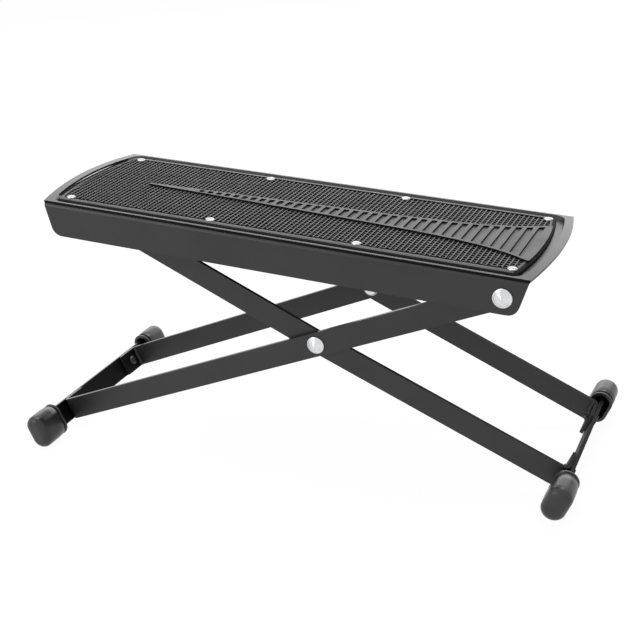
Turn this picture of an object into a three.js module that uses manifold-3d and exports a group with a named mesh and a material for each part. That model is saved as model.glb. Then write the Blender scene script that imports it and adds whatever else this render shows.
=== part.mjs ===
// Folding guitar footrest: a pressed steel top on a scissor of two flat-bar legs.
// Millimetres, +Z up, +X towards the pivot end, -Y towards the viewer.
// The model stands on z = 0 with the middle of its footprint on the origin.
import * as THREE from 'three';
import { mergeVertices } from 'three/addons/utils/BufferGeometryUtils.js';
import Module from 'manifold-3d';

const wasm = await Module();
wasm.setup();

// Fits that more than one piece shares
const seatGap = 0.3; // between a piece and what it is seated on
const holeGap = 0.3; // around a shank in its hole
const overrun = 2; // how far a cutting tool runs past the face it cuts
const roundSides = 32;
const smallRoundSides = 20; // for rivets and rings
const arcSteps = 8; // steps of a small corner arc
const longArcSteps = 24; // steps of an end arc of the top
const crownSteps = 16; // across the deck
const wedgeSteps = 24; // along the tread's wedge

// The pressed top. Its own frame lies in the plane of its deck's edges, x along it, y across it.
const top = {
  length: 301.4, // corner to corner
  width: 104.5,
  endBulge: 6.15, // how far each end bows out past its corners
  crown: 1.8, // how much higher the deck is along its middle than at its edges
  sheet: 1.4,
  bend: 2.2, // outer radius at the head of a flange
  shoulder: 1.3, // from the deck's edge down to the head of a flange
  shoulderInset: 1.05, // from a flange's face in to the deck's edge
  flangeDepth: 21.5,
  flangeSlant: 5.5, // how far a flange's end leans in
  flangeCorner: 6,
  lip: 5.1, // band between an end and the sunken bed
  rim: 2.7, // from a flange's face to the bed
  bedDepth: 2.2,
  bedCorner: 8,
};

// The rubber tread in the bed
const tread = {
  endGap: 2.75, // from the bed's end
  sideGap: 5.15, // from the bed's side
  corner: 3,
  surfaceRise: 0.3, // above the deck's edges
  wedgeRise: 0.8,
  wedgeTipInset: 41.7, // from the tread's left end
  wedgeEndInset: 6.5, // from its right end
  wedgeTipHalfWidth: 0.8,
  wedgeTipShare: 0.48, // of the wide end's half width, to which the wedge widens evenly
  wedgeSideInset: 16.6, // from the tread's side, at the wedge's wide end
  wedgeFlareShare: 0.105, // of the wedge's length, over which it flares at its wide end
  windowPitch: 5.95,
  windowLength: 3.2,
  windowDepth: 1,
  windowBorder: 2.2,
  leastWindow: 1.6, // across
  lastWindowInset: 10, // from the tread's right end to the middle of the last one
};

// Small domed rivets through the tread and the bed
const treadRivet = {
  headRadius: 2.9,
  headHeight: 1.4,
  shank: 1.5,
  tailRadius: 2.1,
  tailHeight: 0.5,
  endInset: 10.4, // from the tread's end
  sideInset: 4, // from the tread's side
  innerLeftShare: 0.302, // of the outer rivets' distance from the middle
  innerRightShare: 0.362,
};

// Flat bar that both legs and both foot bars are made of. A leg's bar is bent in at the foot to a tab.
const bar = { width: 14.5, thickness: 2.2, bend: 4, tab: 19 };

const outerLeg = {
  scissorShare: 0.4518, // of the way from the pivot to the rod, folded
  footOutreach: 38.7, // the folded foot bar's middle, past the top's corners
  restAngle: 25.66, // degrees from the top
  flangeClearance: 2.3, // from a flange's inside to the outside of the bar
  footTaper: 4.95, // how much nearer the middle each bar lies at the foot
  footBarOverhang: 29.9,
};

const innerLeg = {
  footOutreach: 26.6,
  rodEndDistance: 20.5, // the folded rod's middle, from the top's left corners
  scissorGap: 0.5, // between the outer and inner bars at the scissor rivet
  footTaper: 2.37, // from the scissor rivet to the foot
  rodTaper: 3.42, // from the scissor rivet to the rod
  footBarOverhang: 23.4,
};

// Where the outer leg hangs in the flanges, and how deep the rod rides in the photographed height
const pivot = { endDistance: 13.3, depth: 11.85 };
const rod = { radius: 2.5, restDepth: 12.6, tenonRadius: 1.9 };

// Notched racks under the bed
const rack = {
  sheet: 2,
  flange: 11,
  flangeSheet: 1.5,
  rodEndInset: 13.6, // of the toothed web, from the rod's end
  notches: 6,
  restNotch: 2, // counted from 0 at the folded end
  pitch: 7.4,
  toothGap: 0.4, // from a tooth's tip to the rod's path
  notchGap: 0.25, // around the rod in its notch
  notchDepth: 2.6,
  endMargin: 5,
};

// The inner leg's turn against the top, per turn of the outer leg against it
const foldRatio = 0.8;

const pivotRivet = {
  headRadius: 5.6,
  headHeight: 2.9,
  shank: 3,
  tailRadius: 4.6,
  tailHeight: 1.5,
  spacerRadius: 6.5,
};
const scissorRivet = {
  headRadius: 5.3,
  headHeight: 2.6,
  shank: 3,
  tailRadius: 3.6,
  tailHeight: 1.4,
  washerRadius: 5,
  washerThickness: 1,
};
const footRivet = {
  headRadius: 3.3,
  headHeight: 1.7,
  shank: 1.8,
  tailRadius: 3,
  tailHeight: 1,
  inset: 9.5, // in from the outside of the leg
};

const tailChamferShare = 1 / 3; // of a rivet tail's height

// Rubber cap on a foot bar's end. Its section is a tall oval with straight sides.
const cap = {
  length: 22,
  halfHeight: 11.2,
  halfThickness: 7.2,
  collar: 3,
  collarInset: 0.6, // how much slimmer the collar is
  waist: 1.2, // length of the step from collar to body
  endRound: 4.5,
  wall: 4, // rubber past the bar's end
  footHeight: 10.5, // middle of the section above the floor
};
const capSides = 36;
const capRoundSteps = 5;

const radians = THREE.MathUtils.degToRad;
const { sin, cos, sqrt, atan2, asin, acos, exp, PI } = Math;

// Solids

// A closed three.js geometry as a solid that can be cut and joined.
function solid(geometry) {
  const bare = geometry.clone();
  bare.deleteAttribute('normal');
  bare.deleteAttribute('uv');
  const merged = mergeVertices(bare);
  const index = merged.index.array;
  const triangles = [];
  for (let i = 0; i < index.length; i += 3) {
    const [a, b, c] = index.slice(i, i + 3);
    if (a !== b && b !== c && c !== a) triangles.push(a, b, c);
  }
  const mesh = new wasm.Mesh({
    numProp: 3,
    vertProperties: new Float32Array(merged.attributes.position.array),
    triVerts: new Uint32Array(triangles),
  });
  return new wasm.Manifold(mesh);
}

function meshOf(manifold, name, material) {
  const { vertProperties, triVerts } = manifold.getMesh();
  const geometry = new THREE.BufferGeometry();
  geometry.setAttribute('position', new THREE.BufferAttribute(vertProperties, 3));
  geometry.setIndex(new THREE.BufferAttribute(triVerts, 1));
  geometry.computeVertexNormals();
  const mesh = new THREE.Mesh(geometry, material);
  mesh.name = name;
  return mesh;
}

const axes = {
  x: new THREE.Vector3(1, 0, 0),
  y: new THREE.Vector3(0, 1, 0),
  z: new THREE.Vector3(0, 0, 1),
};

function extrude(shape, depth) {
  return new THREE.ExtrudeGeometry(shape, { depth, bevelEnabled: false, curveSegments: arcSteps });
}

// A shape drawn in x and y, from z = low to z = high.
function slabZ(shape, low, high) {
  return solid(extrude(shape, high - low).translate(0, 0, low));
}

// A shape drawn in x and z, from y = low to y = high.
function slabY(shape, low, high) {
  const turn = new THREE.Matrix4().makeBasis(axes.x, axes.z, axes.y.clone().negate());
  return solid(extrude(shape, high - low).applyMatrix4(turn).translate(0, high, 0));
}

// A shape drawn in y and z, from x = low to x = high.
function slabX(shape, low, high) {
  const turn = new THREE.Matrix4().makeBasis(axes.y, axes.z, axes.x);
  return solid(extrude(shape, high - low).applyMatrix4(turn).translate(low, 0, 0));
}

function box(x0, x1, y0, y1, z0, z1) {
  const geometry = new THREE.BoxGeometry(x1 - x0, y1 - y0, z1 - z0);
  return solid(geometry.translate((x0 + x1) / 2, (y0 + y1) / 2, (z0 + z1) / 2));
}

function roundBarY(radius, length, x, y, z) {
  return solid(new THREE.CylinderGeometry(radius, radius, length, roundSides).translate(x, y, z));
}

function roundBarX(radius, length, x, y, z) {
  const geometry = new THREE.CylinderGeometry(radius, radius, length, roundSides);
  return solid(geometry.rotateZ(PI / 2).translate(x, y, z));
}

function roundBarZ(radius, length, x, y, z) {
  const geometry = new THREE.CylinderGeometry(radius, radius, length, roundSides);
  return solid(geometry.rotateX(PI / 2).translate(x, y, z));
}

// A turned solid about Y, from a profile of [radius, y] points that rises along the axis.
function turned(profile, sides = roundSides) {
  const points = profile.map(([radius, y]) => new THREE.Vector2(radius, y));
  return new THREE.LatheGeometry(points, sides);
}

// The mechanism, worked out in the top's frame

const pivotX = top.length / 2 - pivot.endDistance;
const pivotToRod = pivotX + top.length / 2 - innerLeg.rodEndDistance;
const pivotToScissor = outerLeg.scissorShare * pivotToRod;
const rodToScissor = pivotToRod - pivotToScissor;
const outerLength = pivotX + top.length / 2 + outerLeg.footOutreach;
const innerScissorToFoot = top.length / 2 + innerLeg.footOutreach - (pivotX - pivotToScissor);

const restOuter = radians(outerLeg.restAngle);
const scissorDepthAt = (outer) => pivot.depth + pivotToScissor * sin(outer);
const scissorXAt = (outer) => pivotX - pivotToScissor * cos(outer);
const restInner = asin((scissorDepthAt(restOuter) - rod.restDepth) / rodToScissor);
const innerAt = (outer) => restInner + foldRatio * (outer - restOuter);
const rodXAt = (outer) => scissorXAt(outer) - rodToScissor * cos(innerAt(outer));
const rodDepthAt = (outer) => scissorDepthAt(outer) - rodToScissor * sin(innerAt(outer));

const outerFoot = {
  x: pivotX - outerLength * cos(restOuter),
  depth: pivot.depth + outerLength * sin(restOuter),
};
const innerFoot = {
  x: scissorXAt(restOuter) + innerScissorToFoot * cos(restInner),
  depth: scissorDepthAt(restOuter) + innerScissorToFoot * sin(restInner),
};
// Both feet stand on one floor, which tilts the top
const topTilt = atan2(outerFoot.depth - innerFoot.depth, innerFoot.x - outerFoot.x);
const topHeight = cap.footHeight + outerFoot.x * sin(topTilt) + outerFoot.depth * cos(topTilt);

// The outer leg's angle that brings the rod to a place along the top
function outerAngleForRod(x) {
  let low = 0;
  let high = PI / 2;
  const halvings = 40;
  for (let i = 0; i < halvings; i += 1) {
    const middle = (low + high) / 2;
    if (rodXAt(middle) < x) low = middle;
    else high = middle;
  }
  return (low + high) / 2;
}

const firstNotchX = rodXAt(restOuter) - rack.restNotch * rack.pitch;
const lastNotchX = firstNotchX + (rack.notches - 1) * rack.pitch;

// Materials

const metal = (color, roughness, metalness) =>
  new THREE.MeshStandardMaterial({ color, roughness, metalness });
const coated = metal(0x2b2b2d, 0.5, 0.3);
const coatedBar = metal(0x222224, 0.45, 0.3);
const bright = metal(0xd8d8da, 0.25, 1);
const zinc = metal(0xa9abad, 0.35, 1);
const treadRubber = metal(0x3a3a3d, 0.75, 0);
const capRubber = metal(0x3c3c3e, 0.6, 0);

// Outlines

// The outline shared by top, bed and tread: two straight sides and two bowed ends about common centres.
const endRadius = (top.width ** 2 / 4 + top.endBulge ** 2) / (2 * top.endBulge);
const topReach = top.length / 2 + top.endBulge;
const endCentre = topReach - endRadius;

function bowedOutline(halfWidth, reach, corner) {
  const radius = reach - endCentre;
  const cornerY = halfWidth - corner;
  const cornerX = endCentre + sqrt((radius - corner) ** 2 - cornerY ** 2);
  const swing = asin(cornerY / (radius - corner));
  const shape = new THREE.Shape();
  shape.moveTo(cornerX, -halfWidth);
  shape.absarc(cornerX, -cornerY, corner, -PI / 2, -swing);
  for (let i = 1; i < longArcSteps; i += 1) {
    const angle = -swing + (2 * swing * i) / longArcSteps;
    shape.lineTo(endCentre + radius * cos(angle), radius * sin(angle));
  }
  shape.absarc(cornerX, cornerY, corner, swing, PI / 2);
  shape.absarc(-cornerX, cornerY, corner, PI / 2, PI - swing);
  for (let i = 1; i < longArcSteps; i += 1) {
    const angle = PI - swing + (2 * swing * i) / longArcSteps;
    shape.lineTo(-endCentre + radius * cos(angle), radius * sin(angle));
  }
  shape.absarc(-cornerX, -cornerY, corner, PI + swing, 1.5 * PI);
  return shape;
}

const bedReach = topReach - top.lip;
const bedHalfWidth = top.width / 2 - top.rim;
const treadReach = bedReach - tread.endGap;
const treadHalfWidth = bedHalfWidth - tread.sideGap;

// The top

const deckHalfWidth = top.width / 2 - top.shoulderInset;
const crownAt = (y) => top.crown * (1 - (2 * y / top.width) ** 2);

// Everything under the channel's upper face, offset inwards by inset: a flange, its bent head, the
// step up to the deck's edge and the crowned deck.
function channelCore(inset, halfLength) {
  const halfWidth = top.width / 2 - inset;
  const radius = top.bend - inset;
  const edge = deckHalfWidth - inset;
  const floor = -top.flangeDepth - (inset > 0 ? overrun : 0);
  const bendY = halfWidth - radius;
  const bendZ = -top.shoulder - top.bend;
  const swing = acos((edge - bendY) / radius);
  const shape = new THREE.Shape();
  shape.moveTo(-halfWidth, floor);
  shape.lineTo(halfWidth, floor);
  shape.absarc(bendY, bendZ, radius, 0, swing);
  for (let i = 0; i <= crownSteps; i += 1) {
    const y = edge * (1 - (2 * i) / crownSteps);
    shape.lineTo(y, crownAt(y) - inset);
  }
  shape.absarc(-bendY, bendZ, radius, PI - swing, PI);
  return slabX(shape, -halfLength, halfLength);
}

// The flange seen from the side, with its leaning ends and round lower corners.
function flangeOutline() {
  const half = top.length / 2;
  const low = half - top.flangeSlant;
  const floor = -top.flangeDepth;
  const run = sqrt(top.flangeSlant ** 2 + top.flangeDepth ** 2);
  const towardsTop = [top.flangeSlant / run, top.flangeDepth / run];
  const shape = new THREE.Shape();
  shape.moveTo(-low + top.flangeCorner, floor);
  shape.lineTo(low - top.flangeCorner, floor);
  shape.quadraticCurveTo(
    low, floor,
    low + top.flangeCorner * towardsTop[0], floor + top.flangeCorner * towardsTop[1],
  );
  shape.lineTo(half, -top.shoulder);
  shape.lineTo(half, top.crown + overrun);
  shape.lineTo(-half, top.crown + overrun);
  shape.lineTo(-half, -top.shoulder);
  shape.lineTo(-low - top.flangeCorner * towardsTop[0], floor + top.flangeCorner * towardsTop[1]);
  shape.quadraticCurveTo(-low, floor, -low + top.flangeCorner, floor);
  return shape;
}

const treadRivetOuter = treadReach - treadRivet.endInset;
const treadRivetShares = [-1, -treadRivet.innerLeftShare, treadRivet.innerRightShare, 1];
const treadRivetPlaces = treadRivetShares.map((share) => share * treadRivetOuter);
const treadRivetSide = treadHalfWidth - treadRivet.sideInset;

function topPlate() {
  const halfWidth = top.width / 2;
  const long = topReach + overrun;
  const above = top.crown + overrun;
  const ends = slabZ(bowedOutline(halfWidth, topReach, top.sheet), -top.flangeDepth - overrun, above);
  const channel = channelCore(0, long).subtract(channelCore(top.sheet, long + overrun));
  const sides = slabY(flangeOutline(), -halfWidth - overrun, halfWidth + overrun);
  // Past the flanges' ends only the deck goes on
  const deck = box(-long, long, -deckHalfWidth, deckHalfWidth, -top.sheet, above);
  let plate = channel.intersect(ends).intersect(sides.add(deck));

  const under = -top.bedDepth - top.sheet;
  const pan = slabZ(
    bowedOutline(bedHalfWidth + top.sheet, bedReach + top.sheet, top.bedCorner + top.sheet),
    under,
    -top.sheet / 2,
  );
  const bed = slabZ(bowedOutline(bedHalfWidth, bedReach, top.bedCorner), -top.bedDepth, above);
  plate = plate.add(pan).subtract(bed);
  for (const x of treadRivetPlaces) {
    for (const side of [-1, 1]) {
      const hole = treadRivet.shank + holeGap;
      plate = plate.subtract(roundBarZ(hole, top.flangeDepth, x, side * treadRivetSide, -top.bedDepth));
    }
  }
  const pivotHole = roundBarY(pivotRivet.shank + holeGap, top.width + overrun, pivotX, 0, -pivot.depth);
  return plate.subtract(pivotHole);
}

// The tread

const treadUnder = -top.bedDepth + seatGap;
const wedgeTop = tread.surfaceRise + tread.wedgeRise;
const wedgeTip = -treadReach + tread.wedgeTipInset;
const wedgeEnd = treadReach - tread.wedgeEndInset;
const wedgeHalfWidth = treadHalfWidth - tread.wedgeSideInset;
const lastWindow = treadReach - tread.lastWindowInset;

// The wedge widens evenly and then flares towards its wide end
function wedgeHalfAt(x) {
  const share = (x - wedgeTip) / (wedgeEnd - wedgeTip);
  const evenEnd = wedgeHalfWidth * tread.wedgeTipShare;
  const even = tread.wedgeTipHalfWidth + share * (evenEnd - tread.wedgeTipHalfWidth);
  return even + (wedgeHalfWidth - evenEnd) * exp((share - 1) / tread.wedgeFlareShare);
}

function treadMat() {
  const outline = bowedOutline(treadHalfWidth, treadReach, tread.corner);
  const base = slabZ(outline, treadUnder, tread.surfaceRise);
  const wedge = new THREE.Shape();
  const stations = [];
  for (let i = 0; i <= wedgeSteps; i += 1) {
    stations.push(wedgeTip + (i / wedgeSteps) * (wedgeEnd - wedgeTip));
  }
  wedge.moveTo(treadReach, wedgeHalfWidth);
  for (const x of [...stations].reverse()) wedge.lineTo(x, wedgeHalfAt(x));
  for (const x of stations) wedge.lineTo(x, -wedgeHalfAt(x));
  wedge.lineTo(treadReach, -wedgeHalfWidth);
  const trim = slabZ(outline, treadUnder, wedgeTop);
  let mat = base.add(slabZ(wedge, treadUnder + seatGap, wedgeTop).intersect(trim));
  const floor = wedgeTop - tread.windowDepth;
  for (let x = lastWindow; x > wedgeTip; x -= tread.windowPitch) {
    const low = x - tread.windowLength / 2;
    const high = x + tread.windowLength / 2;
    const halfLow = wedgeHalfAt(low) - tread.windowBorder;
    const halfHigh = wedgeHalfAt(high) - tread.windowBorder;
    if (2 * halfLow < tread.leastWindow) break;
    const window = new THREE.Shape();
    window.moveTo(low, -halfLow);
    window.lineTo(high, -halfHigh);
    window.lineTo(high, halfHigh);
    window.lineTo(low, halfLow);
    mat = mat.subtract(slabZ(window, floor, wedgeTop + overrun));
  }
  for (const x of treadRivetPlaces) {
    for (const side of [-1, 1]) {
      const hole = treadRivet.shank + holeGap;
      mat = mat.subtract(roundBarZ(hole, top.flangeDepth, x, side * treadRivetSide, 0));
    }
  }
  return mat;
}

// Rivets: a domed head, a shank and a flat tail in one turned piece

// Along +Y: the tail's end lies at tailEnd, the head's underside at headSeat, and the dome beyond it.
function rivetProfile(size, tailEnd, headSeat) {
  const steps = 5;
  const tailSeat = tailEnd + size.tailHeight;
  const chamfer = size.tailHeight * tailChamferShare;
  const profile = [[0, tailEnd]];
  profile.push([size.tailRadius - chamfer, tailEnd], [size.tailRadius, tailEnd + chamfer]);
  profile.push([size.tailRadius, tailSeat], [size.shank, tailSeat], [size.shank, headSeat]);
  for (let i = 0; i <= steps; i += 1) {
    const angle = (i / steps) * (PI / 2);
    profile.push([size.headRadius * cos(angle), headSeat + size.headHeight * sin(angle)]);
  }
  profile[profile.length - 1][0] = 0;
  return profile;
}

function rivet(size, grip, name, material) {
  const tailEnd = -grip - seatGap - size.tailHeight;
  const profile = rivetProfile(size, tailEnd, seatGap);
  return meshOf(solid(turned(profile, smallRoundSides)), name, material);
}

// A flat ring about Y, from y = 0 to thickness.
function ring(inner, outer, thickness, name, material) {
  const profile = [[inner, 0], [outer, 0], [outer, thickness], [inner, thickness], [inner, 0]];
  return meshOf(solid(turned(profile, smallRoundSides)), name, material);
}

// Legs

// One flat bar of a leg, lying along x on the +y side, with its foot end bent in to a tab at tabX.
// Stations are [x, half width] from the open end to the bend, over the outside.
function legBar(stations, tabX, endX) {
  const t = bar.thickness;
  const fromFoot = [...stations].reverse();
  const footHalf = fromFoot[0][1];
  const bendX = tabX - bar.bend;
  const bendY = footHalf - bar.bend;
  const shape = new THREE.Shape();
  shape.moveTo(tabX - t, footHalf - bar.tab);
  shape.lineTo(tabX, footHalf - bar.tab);
  shape.absarc(bendX, bendY, bar.bend, 0, PI / 2);
  for (const [x, half] of fromFoot) shape.lineTo(x, half);
  for (const [x, half] of stations) shape.lineTo(x, half - t);
  shape.absarc(bendX, bendY, bar.bend - t, PI / 2, 0, true);
  const flat = slabZ(shape, -bar.width / 2, bar.width / 2);

  const side = new THREE.Shape();
  const reach = bar.width / 2;
  side.absarc(endX, 0, reach, PI / 2, 1.5 * PI);
  side.lineTo(tabX + overrun, -reach);
  side.lineTo(tabX + overrun, reach);
  const wide = Math.max(...stations.map(([, half]) => half)) + overrun;
  return flat.intersect(slabY(side, 0, wide));
}

const barHalf = bar.thickness / 2;
const tabBack = barHalf + seatGap; // from a foot bar's middle to a leg's tab

// Half widths over the outside of the bars
const pivotHalfWidth = top.width / 2 - top.sheet - outerLeg.flangeClearance;
const outerHalfAt = (fromPivot) => pivotHalfWidth - (outerLeg.footTaper * fromPivot) / outerLength;
const outerFootHalf = outerHalfAt(outerLength);
const scissorHalf = outerHalfAt(pivotToScissor);
const innerScissorHalf = scissorHalf - bar.thickness - innerLeg.scissorGap;
const innerFootHalf = innerScissorHalf - innerLeg.footTaper;
const rodHalfWidth = innerScissorHalf - innerLeg.rodTaper;
const rackPlace = rodHalfWidth - rack.rodEndInset;

function footRivetHoles(footX, half) {
  const place = half - footRivet.inset;
  const length = 2 * (bar.thickness + overrun);
  return [-1, 1].map((side) => roundBarX(footRivet.shank + holeGap, length, footX, side * place, 0));
}

function cutAll(piece, tools) {
  return tools.reduce((left, tool) => left.subtract(tool), piece);
}

// In the leg's frame: x from the pivot to the foot.
function outerLegBar() {
  const tabX = outerLength - tabBack;
  const startX = -bar.width / 2;
  const stations = [[startX, outerHalfAt(startX)], [tabX - bar.bend, outerFootHalf]];
  return cutAll(legBar(stations, tabX, 0), [
    roundBarY(pivotRivet.shank + holeGap, top.width, 0, 0, 0),
    roundBarY(scissorRivet.shank + holeGap, top.width, pivotToScissor, 0, 0),
    ...footRivetHoles(tabX, outerFootHalf),
  ]);
}

// In the leg's frame: x from the scissor rivet to the foot.
function innerLegBar() {
  const tabX = innerScissorToFoot - tabBack;
  const stations = [
    [-rodToScissor - bar.width / 2, rodHalfWidth],
    [0, innerScissorHalf],
    [tabX - bar.bend, innerFootHalf],
  ];
  return cutAll(legBar(stations, tabX, -rodToScissor), [
    roundBarY(scissorRivet.shank + holeGap, top.width, 0, 0, 0),
    roundBarY(rod.tenonRadius + holeGap, top.width, -rodToScissor, 0, 0),
    ...footRivetHoles(tabX, innerFootHalf),
  ]);
}

// A straight flat bar across a leg's foot, its middle at x = 0.
function footBar(halfLength, legHalf) {
  const reach = bar.width / 2;
  const strip = box(-barHalf, barHalf, -halfLength, halfLength, -reach, reach);
  return cutAll(strip, footRivetHoles(0, legHalf));
}

// The rod, turned down to a tenon at each end that fills the leg's holes
function crossRod() {
  const half = rodHalfWidth - bar.thickness - seatGap;
  const end = rodHalfWidth;
  const profile = [
    [0, -end], [rod.tenonRadius, -end], [rod.tenonRadius, -half], [rod.radius, -half],
    [rod.radius, half], [rod.tenonRadius, half], [rod.tenonRadius, end], [0, end],
  ];
  return solid(turned(profile));
}

// Foot caps

// One ring of the cap's section, drawn in by inset, at height y along the cap.
function capRing(inset, y) {
  const radius = cap.halfThickness - inset;
  const straight = cap.halfHeight - cap.halfThickness;
  const ringPoints = [];
  for (let i = 0; i < capSides; i += 1) {
    const angle = ((i + 0.5) / capSides) * 2 * PI;
    const lift = sin(angle) > 0 ? straight : -straight;
    ringPoints.push([radius * cos(angle), y, radius * sin(angle) + lift]);
  }
  return ringPoints;
}

// Rings of equal count joined into one closed skin.
function skin(rings) {
  const count = rings[0].length;
  const points = rings.flat();
  const index = [];
  for (let r = 0; r < rings.length - 1; r += 1) {
    for (let i = 0; i < count; i += 1) {
      const a = r * count + i;
      const b = r * count + ((i + 1) % count);
      index.push(a, a + count, b, b, a + count, b + count);
    }
  }
  const first = points.length;
  const middleOf = (r) => {
    const total = rings[r].reduce((sum, p) => [sum[0] + p[0], sum[1] + p[1], sum[2] + p[2]], [0, 0, 0]);
    return total.map((value) => value / count);
  };
  points.push(middleOf(0), middleOf(rings.length - 1));
  const lastRing = (rings.length - 1) * count;
  for (let i = 0; i < count; i += 1) {
    const next = (i + 1) % count;
    index.push(first, i, next);
    index.push(first + 1, lastRing + next, lastRing + i);
  }
  const geometry = new THREE.BufferGeometry();
  geometry.setAttribute('position', new THREE.Float32BufferAttribute(points.flat(), 3));
  geometry.setIndex(index);
  return solid(geometry);
}

// The cap from its open end at y = 0 to its round end, on a bar that ends cap.wall short of it.
// soleTurn turns the sole from the leg's frame to the floor's.
function footCap(soleTurn) {
  const rings = [capRing(cap.collarInset, 0), capRing(cap.collarInset, cap.collar)];
  rings.push(capRing(0, cap.collar + cap.waist));
  for (let i = 0; i <= capRoundSteps; i += 1) {
    const angle = (i / capRoundSteps) * (PI / 2);
    rings.push(capRing(cap.endRound * (1 - cos(angle)), cap.length - cap.endRound * (1 - sin(angle))));
  }
  const halfSlot = barHalf + seatGap;
  const halfTall = bar.width / 2 + seatGap;
  const depth = cap.length - cap.wall + seatGap;
  const slot = box(-halfSlot, halfSlot, -overrun, depth, -halfTall, halfTall);
  const wide = 2 * cap.halfHeight;
  const low = new THREE.BoxGeometry(2 * wide, 2 * wide, wide);
  low.translate(0, 0, -cap.footHeight - wide / 2);
  low.rotateY(soleTurn);
  return skin(rings).subtract(slot).subtract(solid(low));
}

// Racks

// The toothed web from the side, in the top's frame. Its teeth follow the rod's path.
function rackOutline() {
  const high = -top.bedDepth - top.sheet - seatGap;
  const radius = rod.radius + rack.notchGap;
  const tipAt = (x) => -rodDepthAt(outerAngleForRod(x)) + rod.radius + rack.toothGap;
  const left = rodXAt(0) - rack.endMargin - rod.radius;
  const right = lastNotchX + rack.endMargin + rod.radius;
  const shape = new THREE.Shape();
  shape.moveTo(left, high);
  shape.lineTo(left, tipAt(rodXAt(0)));
  for (let i = 0; i < rack.notches; i += 1) {
    const x = firstNotchX + i * rack.pitch;
    const root = tipAt(x) + rack.notchDepth - radius;
    shape.lineTo(x - radius, tipAt(x - radius));
    shape.absarc(x, root, radius, PI, 0, true);
    shape.lineTo(x + radius, tipAt(x + radius));
  }
  shape.lineTo(right, tipAt(lastNotchX));
  shape.lineTo(right, high);
  return { shape, left, right, high };
}

function heightRack(side) {
  const { shape, left, right, high } = rackOutline();
  const half = rack.sheet / 2;
  const web = slabY(shape, side * rackPlace - half, side * rackPlace + half);
  const outside = side * (rackPlace + half);
  const inside = side * (rackPlace + half - rack.flange);
  const flange = box(
    left, right, Math.min(outside, inside), Math.max(outside, inside), high - rack.flangeSheet, high,
  );
  return web.add(flange);
}

// Assembly

const sides = [['near', -1], ['far', 1]];

const footrest = new THREE.Group();
const platform = new THREE.Group();
platform.rotation.y = topTilt;
platform.position.z = topHeight;
footrest.add(platform);

platform.add(meshOf(topPlate(), 'top_plate', coated));
platform.add(meshOf(treadMat(), 'tread_mat', treadRubber));

for (const [word, side] of sides) {
  treadRivetPlaces.forEach((x, i) => {
    const grip = top.bedDepth + top.sheet + tread.surfaceRise;
    const piece = rivet(treadRivet, grip, `mat_rivet_${word}_${i + 1}`, bright);
    piece.rotation.x = PI / 2;
    piece.position.set(x, side * treadRivetSide, tread.surfaceRise);
    platform.add(piece);
  });
  platform.add(meshOf(heightRack(side), `rack_${word}`, zinc));

  const grip = top.width / 2 - pivotHalfWidth + bar.thickness;
  const pivotPiece = rivet(pivotRivet, grip, `plate_pivot_rivet_${word}`, bright);
  pivotPiece.rotation.z = side < 0 ? PI : 0;
  pivotPiece.position.set(pivotX, (side * top.width) / 2, -pivot.depth);
  platform.add(pivotPiece);

  const space = top.width / 2 - top.sheet - pivotHalfWidth - 2 * seatGap;
  const name = `plate_pivot_spacer_${word}`;
  const spacer = ring(pivotRivet.shank + holeGap, pivotRivet.spacerRadius, space, name, zinc);
  spacer.rotation.z = side < 0 ? PI : 0;
  spacer.position.set(pivotX, side * (pivotHalfWidth + seatGap), -pivot.depth);
  platform.add(spacer);
}

// A leg's two bars. facing is 1, or -1 in a group that is turned end for end.
function addBars(group, word, piece, facing) {
  for (const [place, worldSide] of sides) {
    const shape = facing * worldSide < 0 ? piece.mirror([0, 1, 0]) : piece;
    group.add(meshOf(shape, `${word}_leg_bar_${place}`, coatedBar));
  }
}

// A foot's bar, its rivets and its caps, at the foot end of a leg group whose x runs to the foot.
// half is the leg's half width there, and overhang how far the bar runs past it on each side.
function addFoot(group, word, { half, overhang, footX, slope, facing }) {
  const halfLength = half + overhang;
  const bottom = meshOf(footBar(halfLength, half), `${word}_foot_bar`, coatedBar);
  bottom.position.x = footX;
  group.add(bottom);
  for (const [place, worldSide] of sides) {
    const side = facing * worldSide;
    const grip = 2 * bar.thickness + seatGap;
    const piece = rivet(footRivet, grip, `${word}_foot_rivet_${place}`, coatedBar);
    piece.rotation.z = PI / 2;
    const y = side * (half - footRivet.inset);
    piece.position.set(footX - tabBack - bar.thickness, y, 0);
    group.add(piece);

    const rubber = meshOf(footCap(-slope * side), `${word}_foot_cap_${place}`, capRubber);
    rubber.rotation.z = side < 0 ? PI : 0;
    rubber.position.set(footX, side * (halfLength + cap.wall - cap.length), 0);
    group.add(rubber);
  }
}

// The outer leg hangs on the pivot and runs down to the left, so its group is turned end for end.
const outer = new THREE.Group();
outer.position.set(pivotX, 0, -pivot.depth);
outer.rotation.set(0, -restOuter, PI);
platform.add(outer);
addBars(outer, 'outer', outerLegBar(), -1);
addFoot(outer, 'outer', {
  half: outerFootHalf,
  overhang: outerLeg.footBarOverhang,
  footX: outerLength,
  slope: restOuter - topTilt,
  facing: -1,
});

for (const [word, worldSide] of sides) {
  const side = -worldSide;
  const grip = 2 * bar.thickness + innerLeg.scissorGap + scissorRivet.washerThickness + seatGap;
  const piece = rivet(scissorRivet, grip, `scissor_rivet_${word}`, bright);
  piece.rotation.z = side < 0 ? PI : 0;
  piece.position.set(pivotToScissor, side * scissorHalf, 0);
  outer.add(piece);

  const name = `scissor_washer_${word}`;
  const hole = scissorRivet.shank + holeGap;
  const washer = ring(hole, scissorRivet.washerRadius, scissorRivet.washerThickness, name, zinc);
  washer.rotation.z = side < 0 ? 0 : PI;
  const seat = innerScissorHalf - bar.thickness - seatGap;
  washer.position.set(pivotToScissor, side * seat, 0);
  outer.add(washer);
}

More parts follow.
